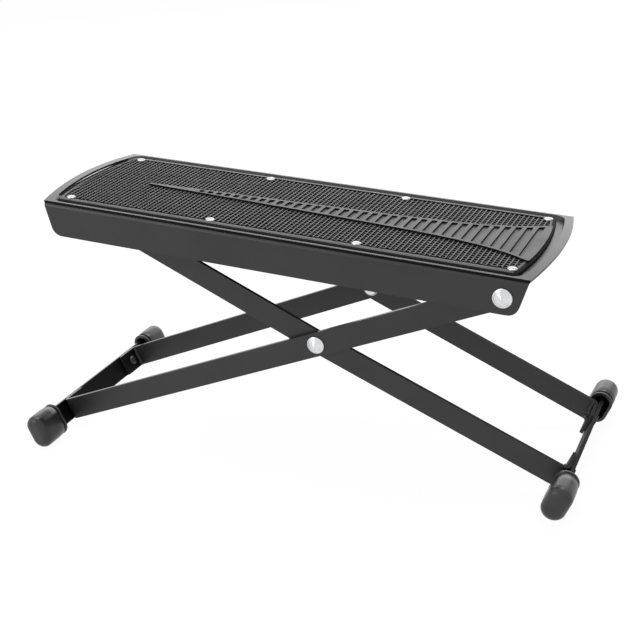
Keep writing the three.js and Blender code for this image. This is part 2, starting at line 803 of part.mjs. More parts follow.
const inner = new THREE.Group();
inner.position.set(scissorXAt(restOuter), 0, -scissorDepthAt(restOuter));
inner.rotation.y = restInner;
platform.add(inner);
addBars(inner, 'inner', innerLegBar(), 1);
const acrossRod = meshOf(crossRod(), 'inner_cross_rod', zinc);
acrossRod.position.x = -rodToScissor;
inner.add(acrossRod);
addFoot(inner, 'inner', {
  half: innerFootHalf,
  overhang: innerLeg.footBarOverhang,
  footX: innerScissorToFoot,
  slope: restInner + topTilt,
  facing: 1,
});

// Centre the footprint
footrest.updateMatrixWorld(true);
const bounds = new THREE.Box3().setFromObject(footrest, true);
const middle = bounds.getCenter(new THREE.Vector3());
footrest.position.set(-middle.x, -middle.y, -bounds.min.z);
footrest.updateMatrixWorld(true);

export default footrest;
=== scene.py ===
"""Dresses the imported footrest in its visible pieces.

They are a pressed steel top, a ribbed rubber tread, crossed flat-bar legs and rubber feet.
"""

import math

import bmesh
import bpy
from mathutils import Matrix, Vector


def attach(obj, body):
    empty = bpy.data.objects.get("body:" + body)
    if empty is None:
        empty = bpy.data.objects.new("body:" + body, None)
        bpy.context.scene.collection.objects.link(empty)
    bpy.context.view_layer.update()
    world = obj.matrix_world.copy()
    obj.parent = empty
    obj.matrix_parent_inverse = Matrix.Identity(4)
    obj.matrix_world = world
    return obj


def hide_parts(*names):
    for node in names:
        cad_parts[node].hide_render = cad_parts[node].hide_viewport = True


bl_info = {
    "name": "Folding Guitar Footrest",
    "version": (1, 0, 0),
    "blender": (4, 5, 0),
    "location": "View3D > Sidebar > Footrest",
    "description": "Builds the visible pieces of a folding guitar footrest around its packed frame",
    "category": "Object",
}

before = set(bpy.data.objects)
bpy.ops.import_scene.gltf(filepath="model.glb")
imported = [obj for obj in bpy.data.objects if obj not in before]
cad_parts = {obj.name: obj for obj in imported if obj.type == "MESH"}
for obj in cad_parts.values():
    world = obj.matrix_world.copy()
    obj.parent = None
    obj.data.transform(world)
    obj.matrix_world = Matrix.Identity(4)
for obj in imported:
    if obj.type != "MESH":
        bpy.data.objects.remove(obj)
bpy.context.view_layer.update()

MM = 0.001
WORDS = (("near", -1), ("far", 1))  # a side's name and its sign along Y

# Where the top and the legs stand, in mm and degrees
CREST_PLACE = (2.18796, 0.0, 147.97760)  # middle of the plane of the deck's edges
TOP_TILT = 5.538942  # down towards +X
OUTER_PIVOT = (137.80263, 0.0, 122.92077)
OUTER_SLOPE = 20.121058
PIVOT_TO_SCISSOR = 120.90168
OUTER_LENGTH = 326.8  # from the pivot to the foot bar
OUTER_FOOT_HALF = 73.5  # half of the foot bar's length
SCISSOR = (24.27983, 0.0, 81.33001)
INNER_SLOPE = 26.134546
INNER_LENGTH = 160.80168  # from the scissor to the foot bar
INNER_FOOT_HALF = 65.05

# The bowed outline that the bed and the tread share, in mm in the top's own frame
END_CENTRE = -68.1813  # of the right end's bow
TREAD_REACH = 149.0
TREAD_HALF_WIDTH = 46.2
TREAD_SHIFT = -2.0  # of the mat's middle along the top
ARC_STEPS = 24
CORNER_STEPS = 6
EDGE_STEPS = 5
EDGE_FLATNESS = 0.55  # height of the mat's rounded edge, as a share of its width

# The bed
BED_RADIUS = 220.1  # from the bow's centre to just past the bed's end
BED_HALF = 49.7
BED_STRAIGHT = 139.6  # where the bed's corners begin
BED_FLOOR = -2.2
RIM_BAND = 5.0  # how near the bed's outline a point of its rim lies
NEAR = 0.05  # a point this near the bed's floor lies on it
RISER_FOOT = -1.4  # of the small step under the deck's edge

# The wedge, the ribs and where the rubber has painted shade
WEDGE_ROWS = 10
TIP_STEPS = 5  # of the plain part before the first window
LEAST_SHARE = 0.55  # of the wedge's width, that a window takes near the tip
SUNK = 0.15  # how far a rib is sunk into what it stands on
STEEP = 0.25  # a face with less of its normal upwards is a wall
END_WALL = 0.12  # the painted shade on the mat's right end begins where it turns down this much
PIT_DEPTH = -0.2  # a face below this is a pit's floor

# Rivets, their sizes and places, in mm
TREAD_RIVET = {"radius": 2.75, "height": 0.95, "rim": 0.3, "tail_radius": 1.5, "tail_end": -4.0}
PIVOT_RIVET = {
    "radius": 5.6, "height": 2.6, "rim": 0.6, "tail_radius": 4.6, "tail_end": -7.6, "turned": 0.13,
}
SCISSOR_RIVET = {
    "radius": 5.3, "height": 2.4, "rim": 0.5, "tail_radius": 3.6, "tail_end": -7.5, "turned": 0.13,
}
TREAD_RIVETS = (-138.6, -41.857, 50.173, 138.6)  # along the top
TREAD_RIVET_SIDE = 40.4
PIVOT_RIVET_PLACE = (137.4, 52.25, -11.85)  # under its head, in the top's frame
SCISSOR_RIVET_SIDE = 46.72
PLAIN_STEPS = 10
TURNED_STEPS = 30
ROUND_STEPS = 48
TURN_PITCH = 1.25  # from one turned ring to the next
SPIN_MERGE = 0.001

# A foot cap, in mm from its open end
CAP_STEPS = 48
CAP_PAST = 4.0  # how far a cap reaches past its bar's end
MOUTH_ROUND = 0.5
LIP_ROUND = 0.4
BEAD_ROUND = 0.5
BEAD_DROP = 0.2  # of the bead under the body's surface
GROOVE_RISE = 0.8  # length of the groove's back wall
BODY_ROUND = 0.3
BODY_START = 8.5
BODY_END = 2.0  # before the closed end's round
END_STEPS = 8
END_WIDTH, END_HEIGHT = 0.12, 0.9  # shares of the section that stay flat at the closed end
WITHIN = 0.1  # how far past the slot, or short of the groove's end, its faces are counted

# The racks' plain ends, in mm in the top's own frame
RACK_END = -137.0  # their left ends lie beyond this
RACK_FOOT = -8.0  # and their lower corners below this
ROD_ROOM = 0.9  # how far they rise, to clear the folded rod

# Finishing of the meshes, in mm and degrees
CAD_MERGE = 0.002
FLAT_ANGLE = 0.3
SMOOTH_ANGLE = 35.0
RIVET_EDGE = 0.12
RING_EDGE = 0.15
ROD_EDGE = 0.2

# The stage, in metres and watts
FLOOR_SIDE = 8.0
PAPER_GLOW = 1.05
PAPER_SHARE = 0.9  # of the glow in what the camera sees; the rest takes the shadow
ROOM_LEVEL = 0.45
LIGHTS = (  # name, place, aim, size, power
    ("overhead_strip", (-0.15, 0.35, 1.25), (0, 0, 0.1), (1.7, 0.4), 12),
    ("back_softbox", (-0.45, 1.6, 0.75), (0, 0, 0.12), (2.8, 1.0), 17),
    ("front_softbox", (-0.9, -1.1, 0.8), (0, 0, 0.1), (0.8, 0.8), 5),
)
CAMERA_PLACE = (0.28880, -0.58154, 0.35465)
CAMERA_TURNS = ((0.453, "Z"), (-0.408, "X"), (0.095, "Y"), (math.pi / 2, "X"))
SENSOR_WIDTH = 36  # mm
LENS = 63.568  # mm


def placed(place, turn):
    """A frame at a place in mm, in the model's metres."""
    return Matrix.Translation(Vector(place) * MM) @ turn @ Matrix.Scale(MM, 4)


TOP_FRAME = placed(CREST_PLACE, Matrix.Rotation(math.radians(TOP_TILT), 4, "Y"))
OUTER_FRAME = placed(
    OUTER_PIVOT,
    Matrix.Rotation(math.radians(-OUTER_SLOPE), 4, "Y") @ Matrix.Rotation(math.pi, 4, "Z"),
)
INNER_FRAME = placed(SCISSOR, Matrix.Rotation(math.radians(INNER_SLOPE), 4, "Y"))
LEGS = (("outer", OUTER_FRAME), ("inner", INNER_FRAME))


# What a user would change

SIZE_DEFAULTS = {
    "rib_pitch": ("Rib pitch", "From one cross rib of the tread to the next", 2.87),
    "rib_width": ("Rib width", "Width of a cross rib", 0.72),
    "bridge_pitch": ("Bridge pitch", "From one bridge between two ribs to the next", 2.9),
    "bridge_width": ("Bridge width", "Width of a bridge", 0.66),
    "bridge_drop": ("Bridge drop", "How far the bridges lie below the ribs", 0.4),
    "field_moat": ("Field moat", "From the ribs' ends to the side border", 1.5),
    "tread_surface": ("Tread surface", "Height of the ribs above the deck's edges", 0.3),
    "field_floor": ("Field floor", "Height of the pits' floor above the deck's edges", -0.6),
    "tread_under": ("Tread underside", "Height of its underside above the deck's edges", -1.9),
    "tread_corner": ("Tread corner", "Radius of the mat's corners", 3.0),
    "tread_edge": ("Tread edge", "Width of the mat's rounded edge", 3.2),
    "field_half": ("Field half width", "From the middle to the smooth side border", 42.1),
    "end_border": ("End border", "Width of the smooth border at the mat's ends", 3.4),
    "wedge_inset": ("Wedge inset", "From the mat's right end to the wedge's", 1.0),
    "wedge_tip": ("Wedge tip", "Place of the wedge's narrow end", -107.3),
    "wedge_end": ("Wedge end", "Place where the wedge stops widening", 142.5),
    "wedge_half": ("Wedge half width", "Half the width of its wide end", 27.8),
    "wedge_tip_half": ("Wedge tip half width", "Half the width of its narrow end", 0.8),
    "wedge_top": ("Wedge top", "Height of the wedge above the deck's edges", 1.1),
    "window_pitch": ("Window pitch", "From one window to the next", 5.95),
    "window_length": ("Window length", "Length of a window along the top", 3.2),
    "window_depth": ("Window depth", "Depth of a window", 1.0),
    "window_wall": ("Window wall", "Lean of a window's walls", 0.15),
    "window_border": ("Window border", "From a window's end to the wedge's side", 2.2),
    "least_window": ("Least window", "Width under which there is no window", 2.6),
    "last_window": ("Last window", "Place of the window nearest to the pivot end", 138.8),
    "cap_length": ("Cap length", "Length of a rubber foot cap", 22.0),
    "cap_half_height": ("Cap half height", "Half the height of a cap", 11.2),
    "cap_half_thickness": ("Cap half thickness", "Half the thickness of a cap", 7.2),
    "cap_bead": ("Cap bead", "Width of the bead at a cap's mouth, and of its groove", 1.3),
    "cap_groove": ("Cap groove", "Depth of the groove behind the bead", 0.9),
    "cap_mouth": ("Cap mouth", "Half the thickness of a cap's open mouth", 4.8),
    "cap_grip": ("Cap grip", "Half the thickness of the slot that grips the bar", 1.25),
    "cap_grip_straight": ("Cap grip straight", "Half the straight part of that slot", 6.1),
    "cap_end_round": ("Cap end round", "Round of a cap's closed end", 4.5),
    "cap_wall": ("Cap wall", "Rubber past the bar's end", 3.7),
    "lean_side": ("Side wall lean", "How far the bed's side walls lean in", 2.0),
    "lean_left": ("Left wall lean", "How far the bed's left wall leans in", 2.4),
    "lean_right": ("Right wall lean", "How far the bed's right wall leans in", 0.8),
    "edge": ("Sheet edge round", "Round of the pressed sheet's edges", 0.5),
    "bar_edge": ("Bar edge round", "Round of the flat bars' edges", 0.4),
}

SHARE_DEFAULTS = {
    "wedge_even_share": ("Even share", "Share of the wide end that the wedge reaches evenly", 0.48),
    "wedge_flare_share": ("Flare share", "Share of the wedge's length over which it flares", 0.105),
}

COLOUR_DEFAULTS = {
    "coat_dark": ("Top coat, dark", "#1D1D1F"),
    "coat_light": ("Top coat, light", "#252527"),
    "bar_dark": ("Bar coat, dark", "#1B1B1D"),
    "bar_light": ("Bar coat, light", "#232325"),
    # painted shade: the black coat on edges and in corners
    "bar_edge_dark": ("Painted shade coat, dark", "#050506"),
    "bar_edge_light": ("Painted shade coat, light", "#0B0B0C"),
    # painted shade: the near-black rubber in pits, grooves and on walls
    "pit_dark": ("Rubber with painted shade, dark", "#060607"),
    "pit_light": ("Rubber with painted shade, light", "#0C0C0D"),
    "tread_dark": ("Tread, dark", "#1E1E20"),
    "tread_light": ("Tread, light", "#29292B"),
    "cap_dark": ("Caps, dark", "#202022"),
    "cap_light": ("Caps, light", "#323234"),
    "plate_dark": ("Bright plate, dark", "#D2D3D5"),
    "plate_light": ("Bright plate, light", "#DEDFE1"),
    "dull_dark": ("Small rivets, dark", "#8E8F92"),
    "dull_light": ("Small rivets, light", "#A8A9AC"),
    "zinc_dark": ("Zinc plate, dark", "#9A9C9F"),
    "zinc_light": ("Zinc plate, light", "#B9BBBE"),
}


class FootrestSizes(bpy.types.PropertyGroup):
    """Sizes of the visible pieces"""

    __annotations__ = {
        key: bpy.props.FloatProperty(
            name=label,
            description=told,
            default=value * MM,
            unit="LENGTH",
            subtype="DISTANCE",
            precision=5,
        )
        for key, (label, told, value) in SIZE_DEFAULTS.items()
    } | {
        key: bpy.props.FloatProperty(
            name=label, description=told, default=value, subtype="FACTOR", min=0.0, max=1.0
        )
        for key, (label, told, value) in SHARE_DEFAULTS.items()
    }


class FootrestColours(bpy.types.PropertyGroup):
    """Colours of the finishes, as sRGB hex values"""

    __annotations__ = {
        key: bpy.props.StringProperty(
            name=label, description=label + ", as an sRGB hex value", default=value
        )
        for key, (label, value) in COLOUR_DEFAULTS.items()
    }


def sizes():
    return bpy.context.scene.footrest_sizes


def colours():
    return bpy.context.scene.footrest_colours


# Materials


def linear(code):
    """An sRGB hex colour as linear RGBA."""
    values = [int(code[i : i + 2], 16) / 255 for i in (1, 3, 5)]
    low = 0.04045
    return [v / 12.92 if v <= low else ((v + 0.055) / 1.055) ** 2.4 for v in values] + [1.0]


def grey(value):
    return [value, value, value, 1.0]


def scale(size_mm):
    """A pattern's scale, from the size of its features."""
    return 1 / (size_mm * MM)


def node(tree, kind, settings=None, links=None):
    """Adds a node, sets its colour stops, sockets and attributes, and links its inputs."""
    made = tree.nodes.new(kind)
    for name, value in (settings or {}).items():
        if name == "stops":
            for stop, (place, colour) in zip(made.color_ramp.elements, value):
                stop.position, stop.color = place, colour
        elif isinstance(name, int) or name in made.inputs:
            made.inputs[name].default_value = value
        else:
            setattr(made, name, value)
    for name, source in (links or {}).items():
        tree.links.new(source, made.inputs[name])
    return made


def empty_tree(owner):
    """The node tree of a material or a world, with nothing in it."""
    owner.use_nodes = True
    owner.node_tree.nodes.clear()
    return owner.node_tree


def powder_coat(name, dark, light, rough_low, rough_high, ior=1.5):
    """Satin polyester powder coat, baked on steel: a fine orange peel, a little uneven in gloss.

    The peel is 1.1 mm from crest to crest and the colour drifts over 38 mm. The powder's grit is
    about 0.05 mm, too fine to show, and is drawn at 0.35 mm.
    """
    if name in bpy.data.materials:
        return bpy.data.materials[name]
    material = bpy.data.materials.new(name)
    tree = empty_tree(material)
    at = {"Vector": node(tree, "ShaderNodeTexCoord").outputs["Object"]}
    drift = node(tree, "ShaderNodeTexNoise", {"Scale": scale(38), "Detail": 3}, at)
    peel = node(tree, "ShaderNodeTexNoise", {"Scale": scale(1.1), "Detail": 2}, at)
    grit = node(tree, "ShaderNodeTexNoise", {"Scale": scale(0.35), "Detail": 1}, at)
    stops = ((0.35, linear(dark)), (0.68, linear(light)))
    colour = node(tree, "ShaderNodeValToRGB", {"stops": stops}, {"Fac": drift.outputs["Fac"]})
    stops = ((0.3, grey(rough_low)), (0.7, grey(rough_high)))
    gloss = node(tree, "ShaderNodeValToRGB", {"stops": stops}, {"Fac": grit.outputs["Fac"]})
    depth = {"Strength": 0.12, "Distance": 0.05 * MM}
    relief = node(tree, "ShaderNodeBump", depth, {"Height": peel.outputs["Fac"]})
    links = {
        "Base Color": colour.outputs["Color"],
        "Roughness": gloss.outputs["Color"],
        "Normal": relief.outputs["Normal"],
    }
    surface = node(tree, "ShaderNodeBsdfPrincipled", {"IOR": ior}, links)
    node(tree, "ShaderNodeOutputMaterial", None, {"Surface": surface.outputs["BSDF"]})
    return material


def moulded_rubber(name, dark, light, rough, pore_mm, depth_mm, ior=1.5):
    """Compression-moulded rubber: matt and faintly pored, with a soft bloom that is uneven.

    The bloom's clouds are 14 mm across. Real pores are about 0.1 mm, too fine to show, and are
    drawn at the size given.
    """
    if name in bpy.data.materials:
        return bpy.data.materials[name]
    material = bpy.data.materials.new(name)
    tree = empty_tree(material)
    at = {"Vector": node(tree, "ShaderNodeTexCoord").outputs["Object"]}
    bloom = node(tree, "ShaderNodeTexNoise", {"Scale": scale(14), "Detail": 4}, at)
    pores = node(tree, "ShaderNodeTexNoise", {"Scale": scale(pore_mm), "Detail": 2}, at)
    stops = ((0.32, linear(dark)), (0.7, linear(light)))
    colour = node(tree, "ShaderNodeValToRGB", {"stops": stops}, {"Fac": bloom.outputs["Fac"]})
    stops = ((0.3, grey(rough - 0.05)), (0.7, grey(rough + 0.06)))
    gloss = node(tree, "ShaderNodeValToRGB", {"stops": stops}, {"Fac": bloom.outputs["Fac"]})
    depth = {"Strength": 0.25, "Distance": depth_mm * MM}
    relief = node(tree, "ShaderNodeBump", depth, {"Height": pores.outputs["Fac"]})
    links = {
        "Base Color": colour.outputs["Color"],
        "Roughness": gloss.outputs["Color"],
        "Normal": relief.outputs["Normal"],
    }
    surface = node(tree, "ShaderNodeBsdfPrincipled", {"IOR": ior}, links)
    node(tree, "ShaderNodeOutputMaterial", None, {"Surface": surface.outputs["BSDF"]})
    return material


def plated_steel(name, dark, light, rough_low, rough_high, mark_mm):
    """Plated cold-headed steel: bright, with faint handling marks and uneven gloss.

    The plate clouds over 2.4 mm. Real marks are hair-fine, and are drawn at the size given.
    """
    if name in bpy.data.materials:
        return bpy.data.materials[name]
    material = bpy.data.materials.new(name)
    tree = empty_tree(material)
    at = {"Vector": node(tree, "ShaderNodeTexCoord").outputs["Object"]}
    cloud = node(tree, "ShaderNodeTexNoise", {"Scale": scale(2.4), "Detail": 3}, at)
    marks = node(tree, "ShaderNodeTexNoise", {"Scale": scale(mark_mm), "Detail": 4}, at)
    stops = ((0.35, linear(dark)), (0.65, linear(light)))
    colour = node(tree, "ShaderNodeValToRGB", {"stops": stops}, {"Fac": cloud.outputs["Fac"]})
    stops = ((0.35, grey(rough_low)), (0.65, grey(rough_high)))
    gloss = node(tree, "ShaderNodeValToRGB", {"stops": stops}, {"Fac": marks.outputs["Fac"]})
    depth = {"Strength": 0.1, "Distance": 0.02 * MM}
    relief = node(tree, "ShaderNodeBump", depth, {"Height": marks.outputs["Fac"]})
    links = {
        "Base Color": colour.outputs["Color"],
        "Roughness": gloss.outputs["Color"],
        "Normal": relief.outputs["Normal"],
    }
    surface = node(tree, "ShaderNodeBsdfPrincipled", {"Metallic": 1.0}, links)
    node(tree, "ShaderNodeOutputMaterial", None, {"Surface": surface.outputs["BSDF"]})
    return material


def top_coat():
    """The top's coat, which gives the deck a soft sheen."""
    c = colours()
    return powder_coat("satin_powder_coat_on_pressed_steel", c.coat_dark, c.coat_light, 0.34, 0.44)


def bar_coat():
    """The legs' coat, a little blacker and duller than the top's."""
    c = colours()
    return powder_coat("satin_powder_coat_on_flat_bar", c.bar_dark, c.bar_light, 0.38, 0.5)


def glossy_edge_coat():
    """Powder coat that is worn smooth along the outer legs' upper edges, so that it glints."""
    c = colours()
    return powder_coat("rubbed_powder_coat_on_outer_edges", c.bar_dark, c.bar_light, 0.1, 0.16)


def painted_shade_coat():
    """Painted shade: a matt, near-black coat on cut edges and in corners, which reads black as
    their shade.
    """
    c = colours()
    name = "matt_powder_coat_on_bar_edges"
    return powder_coat(name, c.bar_edge_dark, c.bar_edge_light, 0.5, 0.6, 1.2)


def painted_shade_rubber():
    """Painted shade: near-black rubber in pits, grooves, the caps' mouths and on walls, where shade
    falls.
    """
    c = colours()
    return moulded_rubber("unworn_black_rubber", c.pit_dark, c.pit_light, 0.7, 0.8, 0.03, 1.25)


def tread_rubber():
    """Tread rubber with a grey bloom, on the tops; the pits and walls have painted shade instead.
    """
    c = colours()
    name = "moulded_tread_rubber_with_bloom"
    return moulded_rubber(name, c.tread_dark, c.tread_light, 0.5, 0.6, 0.03)


def cap_rubber():
    """The caps' softer rubber, with a satin shine and a coarser skin."""
    c = colours()
    return moulded_rubber("moulded_foot_rubber", c.cap_dark, c.cap_light, 0.33, 1.3, 0.16)


def bright_plate():
    """Polished nickel on the hinge rivets, which mirrors the room."""
    c = colours()
    return plated_steel("nickel_plated_headed_steel", c.plate_dark, c.plate_light, 0.1, 0.18, 0.5)


def dull_plate():
    """Barrel-plated nickel on the small rivets, greyer and softer in its glints."""
    c = colours()
    return plated_steel("dull_nickel_on_small_rivets", c.dull_dark, c.dull_light, 0.2, 0.34, 0.5)


def zinc_plate():
    """Zinc plate on the hidden steel, a cool and cloudy grey."""
    c = colours()
    return plated_steel("zinc_plated_pressed_steel", c.zinc_dark, c.zinc_light, 0.3, 0.44, 0.9)


# Meshes


def piece_from(bm, name, finishes, body, replaces):
    """Turns a bmesh in metres into a piece that stands for CAD nodes and moves with their body."""
    mesh = bpy.data.meshes.new(name)
    bm.to_mesh(mesh)
    bm.free()
    mesh.polygons.foreach_set("use_smooth", [True] * len(mesh.polygons))
    for finish in finishes:
        mesh.materials.append(finish)
    piece = bpy.data.objects.new(name, mesh)
    bpy.context.scene.collection.objects.link(piece)
    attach(piece, body)
    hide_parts(*replaces)
    return piece


def soften(piece, width_mm, segments=2):
    """Rounds a piece's sharp edges and keeps its flats flat in the light."""
    bevel = piece.modifiers.new("soft_edges", "BEVEL")
    bevel.width = width_mm * MM
    bevel.segments = segments
    bevel.limit_method = "ANGLE"
    bevel.angle_limit = math.radians(SMOOTH_ANGLE)
    normals = piece.modifiers.new("flat_flats", "WEIGHTED_NORMAL")
    normals.keep_sharp = True


def cad_copy(node_name):
    """A merged copy of a CAD node's mesh, with its flat faces in one piece."""
    bm = bmesh.new()
    bm.from_mesh(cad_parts[node_name].data)
    bmesh.ops.remove_doubles(bm, verts=bm.verts, dist=CAD_MERGE * MM)
    bmesh.ops.dissolve_limit(
        bm,
        angle_limit=math.radians(FLAT_ANGLE),
        verts=bm.verts,
        edges=bm.edges,
        use_dissolve_boundaries=False,
    )
    return bm


def softened_node(node_name, name, finish, body, width_mm):
    soften(piece_from(cad_copy(node_name), name, [finish], body, [node_name]), width_mm)


def coated_bar(node_name, name, place, body):
    """A flat bar with painted shade, a black coat, on its edges and on the faces that look along
    the legs.
    """
    bm = cad_copy(node_name)
    bm.normal_update()
    turn = place.to_3x3().normalized().transposed()
    for face in bm.faces:
        normal = turn @ face.normal
        # Painted shade: edges and ends get the black coat, and the upper edges too on the inner
        # legs
        face.material_index = 2 if normal.z > 1 - STEEP else int(abs(normal.y) < STEEP)
    upper = glossy_edge_coat() if body == "outer_leg" else painted_shade_coat()
    finishes = [bar_coat(), painted_shade_coat(), upper]
    piece = piece_from(bm, name, finishes, body, [node_name])
    soften(piece, sizes().bar_edge / MM)


def leaning_walls(bm):
    """Leans the bed's walls in at their feet, as a pressed bed's do."""
    s = sizes()
    flat = TOP_FRAME.inverted()
    for vert in bm.verts:
        at = flat @ vert.co
        out = math.hypot(abs(at.x) - END_CENTRE, at.y)
        rim = abs(at.y) > BED_HALF - RIM_BAND or out > BED_RADIUS - RIM_BAND
        inside = out < BED_RADIUS and abs(at.y) < BED_HALF
        if rim and inside and abs(at.z - BED_FLOOR) < NEAR:
            side = max(0, 1 - (BED_HALF - abs(at.y)) / RIM_BAND)
            end = min(1, max(0, (abs(at.x) - BED_STRAIGHT) / RIM_BAND))
            at.y -= math.copysign(s.lean_side / MM * side, at.y)
            at.x -= s.lean_right / MM * end if at.x > 0 else -s.lean_left / MM * end
            vert.co = TOP_FRAME @ at


def bowed_outline(half_width, reach, corner):
    """The tread's outline: straight sides, bowed ends about common centres, and round corners."""
    radius = reach - END_CENTRE
    corner_y = half_width - corner
    corner_x = END_CENTRE + math.sqrt((radius - corner) ** 2 - corner_y**2)
    swing = math.asin(corner_y / (radius - corner))
    quarter = []
    for i in range(CORNER_STEPS):
        angle = math.pi / 2 + (swing - math.pi / 2) * i / CORNER_STEPS
        quarter.append((corner_x + corner * math.cos(angle), corner_y + corner * math.sin(angle)))
    for i in range(ARC_STEPS // 2 + 1):
        angle = swing * (1 - 2 * i / ARC_STEPS)
        quarter.append((END_CENTRE + radius * math.cos(angle), radius * math.sin(angle)))
    right = quarter + [(x, -y) for x, y in reversed(quarter[:-1])]
    return right + [(-x, -y) for x, y in right]


def outline_ring(half_width, reach, corner, height):
    return [(x + TREAD_SHIFT, y, height) for x, y in bowed_outline(half_width, reach, corner)]


def skin(bm, rings):
    """A closed skin, drawn out from the first ring of points through the others."""
    count = len(rings[0])
    ring = bmesh.ops.create_circle(bm, cap_ends=True, radius=1, segments=count)["verts"]
    for vert, point in zip(ring, rings[0]):
        vert.co = point
    for points in rings[1:]:
        places = {tuple(vert.co): i for i, vert in enumerate(ring)}
        made = bmesh.ops.extrude_edge_only(bm, edges=[e for e in bm.edges if e.is_boundary])
        drawn = [v for v in made["geom"] if isinstance(v, bmesh.types.BMVert)]
        ring = sorted(drawn, key=lambda v: places[tuple(v.co)])
        for vert, point in zip(ring, points):
            vert.co = point
    bmesh.ops.contextual_create(bm, geom=[e for e in bm.edges if e.is_boundary])
    bmesh.ops.recalc_face_normals(bm, faces=bm.faces)


def block(bm, low, high):
    """A box between two corners."""
    low, high = Vector(low), Vector(high)
    place = Matrix.Translation((low + high) / 2) @ Matrix.Diagonal((*(high - low), 1))
    bmesh.ops.create_cube(bm, size=1, matrix=place)


def merge_into(target, source):
    """Adds one bmesh's geometry to another."""
    mesh = bpy.data.meshes.new("joined")
    source.to_mesh(mesh)
    source.free()
    target.from_mesh(mesh)
    bpy.data.meshes.remove(mesh)


def field_radius():
    """Of the bow that ends the rib field."""
    return TREAD_REACH - sizes().end_border / MM - END_CENTRE


def half_at(x):
    """Half the width of the rib field at x from the mat's middle, where an end arc cuts it."""
    along = abs(x) - END_CENTRE
    return math.sqrt(max(field_radius() ** 2 - along**2, 0))


def wedge_half_at(x):
    """Half the width of the wedge, which widens evenly and then flares."""
    s = sizes()
    tip, end, wide = s.wedge_tip / MM, s.wedge_end / MM, s.wedge_half / MM
    share = min((x - tip) / (end - tip), 1)
    even = s.wedge_tip_half / MM + share * (s.wedge_even_share * wide - s.wedge_tip_half / MM)
    return even + (1 - s.wedge_even_share) * wide * math.exp((share - 1) / s.wedge_flare_share)


def window_half_at(x):
    """Half the width of a window in the wedge at x."""
    half = wedge_half_at(x)
    return max(half - sizes().window_border / MM, half * LEAST_SHARE)


def tread_base():
    """The mat's sheet, with a smooth round-edged border about a sunken field."""
    s = sizes()
    surface, floor, under = s.tread_surface / MM, s.field_floor / MM, s.tread_under / MM
    corner, edge = s.tread_corner / MM, s.tread_edge / MM
    bm = bmesh.new()
    rings = [outline_ring(TREAD_HALF_WIDTH, TREAD_REACH, corner, under)]
    for i in range(EDGE_STEPS + 1):
        angle = i / EDGE_STEPS * math.pi / 2
        drawn = edge * (1 - math.cos(angle))
        height = surface - edge * EDGE_FLATNESS * (1 - math.sin(angle))
        rings.append(outline_ring(TREAD_HALF_WIDTH - drawn, TREAD_REACH - drawn, corner, height))
    side, reach = s.field_half / MM, TREAD_REACH - s.end_border / MM
    rings.append(outline_ring(side, reach, corner, surface))
    rings.append(outline_ring(side, reach, corner, floor))
    skin(bm, rings)
    return bm


def window_places():
    """Places of the wedge's windows along the top, from the tip's end."""
    s = sizes()
    places = []
    x = s.last_window / MM
    while 2 * window_half_at(x - s.window_length / MM / 2) > s.least_window / MM:
        places.append(x)
        x -= s.window_pitch / MM
    return places[::-1]


def tread_wedge():
    """The raised wedge, a sheet whose windows are sunk in it."""
    s = sizes()
    tip, end = s.wedge_tip / MM, s.wedge_end / MM
    half_window, wall = s.window_length / MM / 2, s.window_wall / MM
    windows = window_places()
    plain = windows[0] - half_window - wall - tip
    stations = [(tip + plain * i / TIP_STEPS, False) for i in range(TIP_STEPS)]
    for x in windows:
        low, high = x - half_window, x + half_window
        stations += [(low - wall, False), (low, True), (high, True), (high + wall, False)]
    reach = TREAD_REACH - s.wedge_inset / MM - END_CENTRE
    arc_centre = END_CENTRE + TREAD_SHIFT
    stations += [(end, False), (arc_centre + reach, False)]
    bm = bmesh.new()
    bmesh.ops.create_grid(bm, x_segments=len(stations) - 1, y_segments=WEDGE_ROWS, size=1)
    columns = {}
    for vert in bm.verts:
        columns.setdefault(round(vert.co.x, 4), []).append(vert)
    steps = WEDGE_ROWS - 4  # across a window, between its walls and the wedge's sides
    for (x, sunk), (_, column) in zip(stations, sorted(columns.items())):
        half, inner = wedge_half_at(x), window_half_at(x)
        rows = [inner * (2 * j / steps - 1) for j in range(steps + 1)]
        rows = [-half, -inner - wall, *rows, inner + wall, half]
        for vert, y in zip(sorted(column, key=lambda v: v.co.y), rows):
            depth = s.window_depth if sunk and abs(y) <= inner else 0
            at = min(x, arc_centre + math.sqrt(reach**2 - y**2))
            vert.co = (at, y, (s.wedge_top - depth) / MM)
    made = bmesh.ops.extrude_edge_only(bm, edges=[e for e in bm.edges if e.is_boundary])
    skirt = [v for v in made["geom"] if isinstance(v, bmesh.types.BMVert)]
    bmesh.ops.translate(bm, verts=skirt, vec=(0, 0, (s.tread_under - s.wedge_top) / MM / 2))
    bmesh.ops.contextual_create(bm, geom=[e for e in bm.edges if e.is_boundary])
    bmesh.ops.recalc_face_normals(bm, faces=bm.faces)
    return bm


